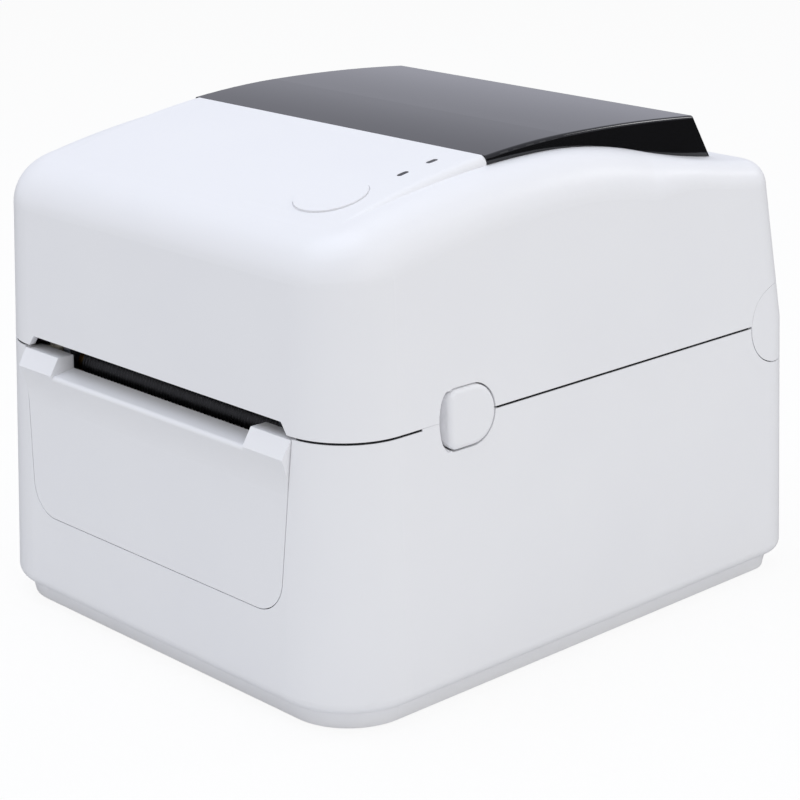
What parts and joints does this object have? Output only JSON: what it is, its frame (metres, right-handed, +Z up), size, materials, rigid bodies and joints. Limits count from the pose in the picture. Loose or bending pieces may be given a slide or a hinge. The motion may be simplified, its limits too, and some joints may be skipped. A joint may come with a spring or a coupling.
{
  "type": "thermal label printer",
  "caption": "Desktop thermal label printer: drafted white clamshell case, black top window, hinged cover, side latches, driven platen, sliding roll holders, tear-off front panel.",
  "frame": {"origin": "centre of the footprint, on the surface the feet stand on", "axes": "+Z up; -Y is the front where the labels come out; +X is the right side seen from the front"},
  "size_m": [0.2092, 0.2478, 0.188],
  "materials": {
    "white_shell": "white moulded plastic, satin gloss",
    "black_window": "black moulded plastic, polished",
    "black_plastic": "black moulded plastic, fine grain",
    "grey_plastic": "dark grey moulded plastic",
    "light_plastic": "smoked clear plastic",
    "acetal": "natural white gear plastic",
    "rubber": "black rubber",
    "steel": "bright steel",
    "sheet_steel": "zinc plated sheet",
    "aluminium": "extruded aluminium",
    "heater": "glazed ceramic",
    "circuit": "green circuit board",
    "brass": "sintered bronze",
    "motor_case": "black painted steel"
  },
  "bodies": {
    "base": {"lower_case": "white_shell", "base_plate": "white_shell", "rubber_feet": "rubber", "front_panel": "white_shell", "tear_bar": "steel", "chassis": "sheet_steel", "paper_guide": "black_plastic", "gap_sensor": "black_plastic", "platen_bushes": "brass", "stepper_motor": "motor_case", "idler_pin": "steel", "media_tray": "grey_plastic", "centring_pin": "steel", "main_board": "circuit", "usb_socket": "sheet_steel", "power_socket": "black_plastic", "switch_frame": "black_plastic", "hinge_brackets": "grey_plastic", "hinge_pins": "steel", "latch_pins": "steel"},
    "cover": {"upper_cover": "white_shell", "top_window": "black_window", "hinge_cap_left": "white_shell", "hinge_cap_right": "white_shell", "cover_frame": "grey_plastic", "control_board": "circuit", "light_pipes": "light_plastic", "head_pivot_pin": "steel", "head_springs": "steel"},
    "print_head": {"head_bracket": "sheet_steel", "heat_sink": "aluminium", "heater_strip": "heater"},
    "platen": {"platen_shaft": "steel", "platen_rubber": "rubber", "platen_gear": "acetal"},
    "feed_button": {"feed_button": "white_shell"},
    "latch_left": {"latch_button_left": "white_shell"},
    "latch_right": {"latch_button_right": "white_shell"},
    "idler": {"idler_gear": "acetal"},
    "motor_pinion": {"motor_pinion": "brass"},
    "holder_left": {"media_holder_left": "black_plastic"},
    "holder_right": {"media_holder_right": "black_plastic"},
    "hub_left": {"roll_hub_left": "grey_plastic"},
    "hub_right": {"roll_hub_right": "grey_plastic"},
    "centring_pinion": {"centring_pinion": "acetal"},
    "power_rocker": {"power_rocker": "black_plastic"}
  },
  "joints": [
    {"name": "cover_hinge", "type": "hinge", "parent": "base", "child": "cover", "pos_m": [0, 0.108, 0.1029], "axis": [-1, 0, 0], "range_deg": [0, 85]},
    {"name": "feed_press", "type": "slide", "parent": "cover", "child": "feed_button", "axis": [0, 0.244, -0.9698], "range_m": [0, 0.0008], "stiffness_N_per_m": 1500, "springref_m": -0.0006},
    {"name": "head_float", "type": "hinge", "parent": "cover", "child": "print_head", "pos_m": [0, -0.077, 0.1135], "axis": [-1, 0, 0], "range_deg": [0, 3], "stiffness_Nm_per_rad": 12, "springref_deg": -8.59, "deforming": ["head_springs"]},
    {"name": "latch_right_press", "type": "hinge", "parent": "base", "child": "latch_right", "pos_m": [0.09733, -0.054, 0.1037], "axis": [0, 0, -1], "range_deg": [0, 7], "stiffness_Nm_per_rad": 0.6, "springref_deg": -6.88},
    {"name": "latch_left_press", "type": "hinge", "parent": "base", "child": "latch_left", "pos_m": [-0.09733, -0.054, 0.1037], "axis": [0, 0, 1], "range_deg": [0, 7], "stiffness_Nm_per_rad": 0.6, "springref_deg": -6.88},
    {"name": "platen_spin", "type": "hinge", "parent": "base", "child": "platen", "pos_m": [0, -0.101, 0.0972], "axis": [1, 0, 0], "continuous": true},
    {"name": "idler_spin", "type": "hinge", "parent": "base", "child": "idler", "pos_m": [-0.0725, -0.08445, 0.08332], "axis": [1, 0, 0], "continuous": true},
    {"name": "motor_spin", "type": "hinge", "parent": "base", "child": "motor_pinion", "pos_m": [-0.0725, -0.07485, 0.06669], "axis": [1, 0, 0], "continuous": true},
    {"name": "holder_left_slide", "type": "slide", "parent": "base", "child": "holder_left", "axis": [1, 0, 0], "range_m": [-0.002, 0.038]},
    {"name": "holder_right_slide", "type": "slide", "parent": "base", "child": "holder_right", "axis": [1, 0, 0], "range_m": [-0.038, 0.002]},
    {"name": "centring_spin", "type": "hinge", "parent": "base", "child": "centring_pinion", "pos_m": [0, 0.022, 0.017], "axis": [0, 0, 1], "range_deg": [-13, 243]},
    {"name": "hub_left_spin", "type": "hinge", "parent": "holder_left", "child": "hub_left", "pos_m": [-0.052, 0.022, 0.082], "axis": [1, 0, 0], "continuous": true},
    {"name": "hub_right_spin", "type": "hinge", "parent": "holder_right", "child": "hub_right", "pos_m": [0.052, 0.022, 0.082], "axis": [1, 0, 0], "continuous": true},
    {"name": "power_rocker_tilt", "type": "hinge", "parent": "base", "child": "power_rocker", "pos_m": [-0.06, 0.11906, 0.044], "axis": [-1, 0, 0], "range_deg": [0, 16]}
  ],
  "couplings": [
    {"joint": "idler_spin", "follows": "platen_spin", "ratio": -0.8},
    {"joint": "motor_spin", "follows": "platen_spin", "ratio": 1.3333},
    {"joint": "holder_right_slide", "follows": "holder_left_slide", "ratio": -1},
    {"joint": "centring_spin", "follows": "holder_left_slide", "rad_per_m": 111.11}
  ]
}
